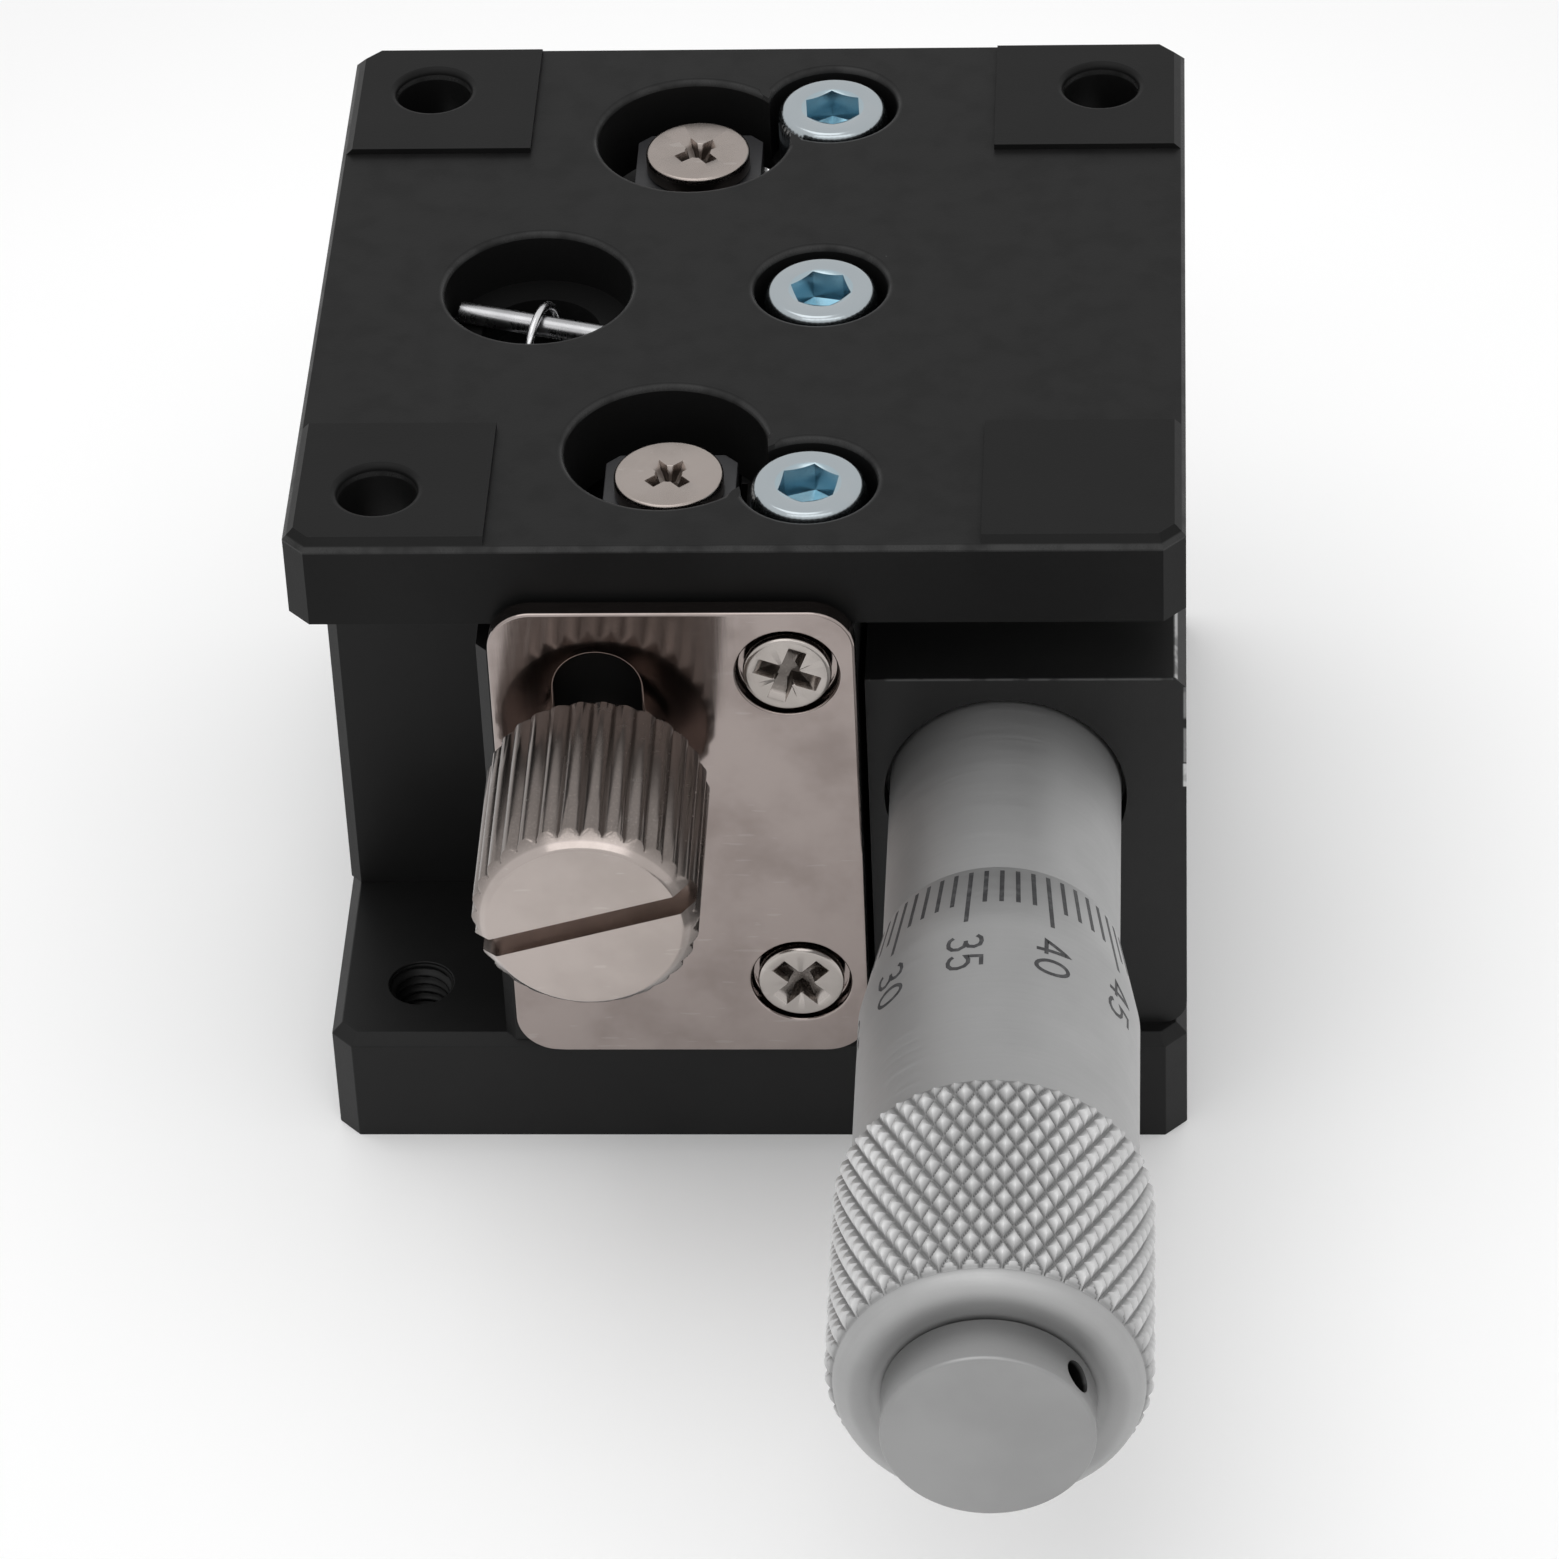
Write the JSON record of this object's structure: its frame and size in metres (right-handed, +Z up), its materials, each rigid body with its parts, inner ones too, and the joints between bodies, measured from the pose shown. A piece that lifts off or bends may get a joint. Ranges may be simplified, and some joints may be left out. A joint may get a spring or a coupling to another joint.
{
  "type": "vertical linear stage",
  "caption": "Small vertical lift stage: square platform on crossed-roller guides, raised by a horizontal micrometer through a bell crank, with a slotted clamp plate and thumbscrew.",
  "frame": {"origin": "centre of the base plate's underside, which is also the centre of its square of tapped holes", "axes": "+Z up, along the travel; +Y away from the micrometer's end cap, along its axis; +X to the right of a user who faces the micrometer"},
  "size_m": [0.04, 0.0804, 0.035],
  "materials": {
    "black_anodised": "bead-blasted and black anodised",
    "rail_steel": "ground, dark oxidised bearing steel",
    "zinc_screw": "bright zinc plated, blue passivated",
    "nickel_plate": "satin nickel plated",
    "satin_chrome": "satin chrome plated",
    "bright_steel": "ground bright",
    "black_steel": "black oxide",
    "spring_wire": "drawn spring wire",
    "cage_brass": "stamped brass sheet"
  },
  "bodies": {
    "frame": {"base_plate": "black_anodised", "column": "black_anodised", "column_screws": "zinc_screw", "outer_rail_front": "rail_steel", "outer_rail_back": "rail_steel", "outer_rail_screws": "black_steel", "rail_end_screws": "nickel_plate", "micrometer_block": "black_anodised", "block_screws": "zinc_screw", "block_set_screw": "black_steel", "sleeve": "satin_chrome", "lever_pin": "bright_steel", "spring_pin_lower": "bright_steel", "spring": "spring_wire"},
    "carriage": {"platform": "black_anodised", "platform_screws": "zinc_screw", "carriage": "black_anodised", "inner_rail_front": "rail_steel", "inner_rail_back": "rail_steel", "inner_rail_screws": "black_steel", "clamp_plate": "nickel_plate", "clamp_plate_screws": "nickel_plate", "spring_pin_upper": "bright_steel"},
    "cage_front": {"cage_front": "cage_brass", "rollers_front": "bright_steel"},
    "cage_back": {"cage_back": "cage_brass", "rollers_back": "bright_steel"},
    "spindle": {"spindle": "bright_steel"},
    "thimble": {"thimble": "satin_chrome", "thimble_cap": "satin_chrome"},
    "lever": {"lever": "black_steel", "lever_push_pin": "bright_steel", "lever_lift_pin": "bright_steel"},
    "clamp_stud": {"clamp_stud": "nickel_plate"},
    "clamp_knob": {"clamp_knob": "nickel_plate"}
  },
  "joints": [
    {"name": "carriage_lift", "type": "slide", "parent": "frame", "child": "carriage", "axis": [0, 0, 1], "range_m": [-0.001, 0.005], "deforming": ["spring"]},
    {"name": "spindle_feed", "type": "slide", "parent": "frame", "child": "spindle", "axis": [0, 1, 0], "range_m": [-0.001, 0.005]},
    {"name": "thimble_turn", "type": "hinge", "parent": "spindle", "child": "thimble", "pos_m": [0.0118, -0.0445, 0.0197], "axis": [0, 1, 0], "range_deg": [-720, 3600]},
    {"name": "lever_tilt", "type": "hinge", "parent": "frame", "child": "lever", "pos_m": [0.01015, 0.003, 0.0119], "axis": [-1, 0, 0], "range_deg": [-7.6, 37.8]},
    {"name": "cage_front_roll", "type": "slide", "parent": "frame", "child": "cage_front", "axis": [0, 0, 1], "range_m": [-0.0005, 0.0025]},
    {"name": "cage_back_roll", "type": "slide", "parent": "frame", "child": "cage_back", "axis": [0, 0, 1], "range_m": [-0.0005, 0.0025]},
    {"name": "clamp_feed", "type": "slide", "parent": "frame", "child": "clamp_stud", "axis": [0, -1, 0], "range_m": [-0.00025, 0.001]},
    {"name": "clamp_turn", "type": "hinge", "parent": "clamp_stud", "child": "clamp_knob", "pos_m": [-0.0062, -0.0278, 0.0241], "axis": [0, 1, 0], "range_deg": [-720, 180]}
  ],
  "couplings": [
    {"joint": "spindle_feed", "follows": "carriage_lift", "ratio": 1},
    {"joint": "thimble_turn", "follows": "carriage_lift", "rad_per_m": 12566},
    {"joint": "lever_tilt", "follows": "carriage_lift", "rad_per_m": 131.6},
    {"joint": "cage_front_roll", "follows": "carriage_lift", "ratio": 0.5},
    {"joint": "cage_back_roll", "follows": "carriage_lift", "ratio": 0.5},
    {"joint": "clamp_turn", "follows": "clamp_feed", "rad_per_m": -12566}
  ]
}
